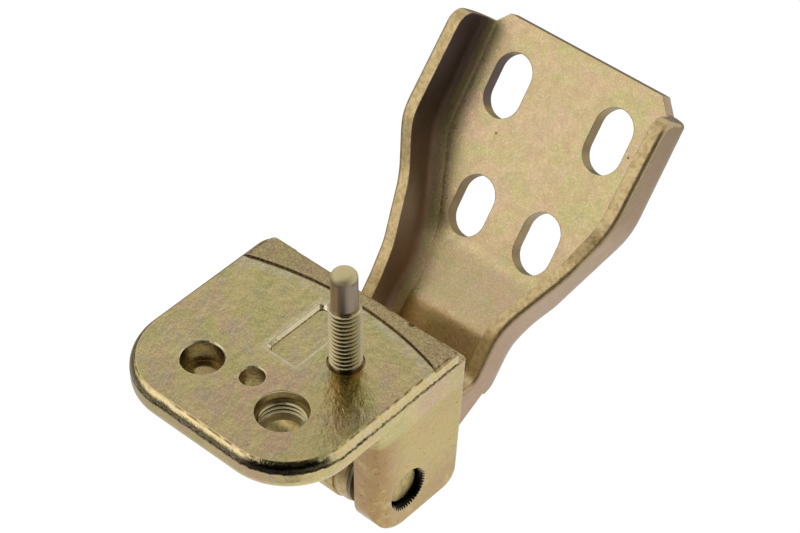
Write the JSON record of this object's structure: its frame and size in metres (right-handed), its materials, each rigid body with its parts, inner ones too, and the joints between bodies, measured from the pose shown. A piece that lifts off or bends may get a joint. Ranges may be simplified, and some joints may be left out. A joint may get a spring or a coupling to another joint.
{
  "type": "car door hinge",
  "caption": "Car door hinge: forged leaf with a mounting stud and bolt holes, joined by a pin to a folded steel bracket with adjusting slots.",
  "frame": {"origin": "stud axis at the plane of the milled mounting face", "axes": "+Z out of the mounting face along the stud, +X along the hinge pin towards the stud's side, +Y from the pad towards the bracket"},
  "size_m": [0.0681, 0.1423, 0.0739],
  "materials": {
    "plated_forging": "yellow passivated zinc over a fine forged texture, satin",
    "plated_stud": "yellow passivated zinc, rolled thread",
    "plated_pin": "yellow passivated zinc, satin",
    "plated_sheet": "yellow passivated zinc on smooth sheet, finely speckled",
    "plated_sleeve": "yellow passivated zinc, satin",
    "bush_metal": "dull bearing bronze",
    "washer_metal": "dull steel"
  },
  "bodies": {
    "leaf": {"forged_leaf": "plated_forging", "threaded_stud": "plated_stud", "hinge_pin": "plated_pin", "washer_left": "washer_metal", "washer_right": "washer_metal"},
    "bracket": {"folded_bracket": "plated_sheet", "spacer_sleeve": "plated_sleeve", "bush_left": "bush_metal", "bush_right": "bush_metal"}
  },
  "joints": [
    {"name": "door_swing", "type": "hinge", "parent": "leaf", "child": "bracket", "pos_m": [-0.01275, 0.0009, -0.0312], "axis": [1, 0, 0], "range_deg": [-50, 38]}
  ]
}
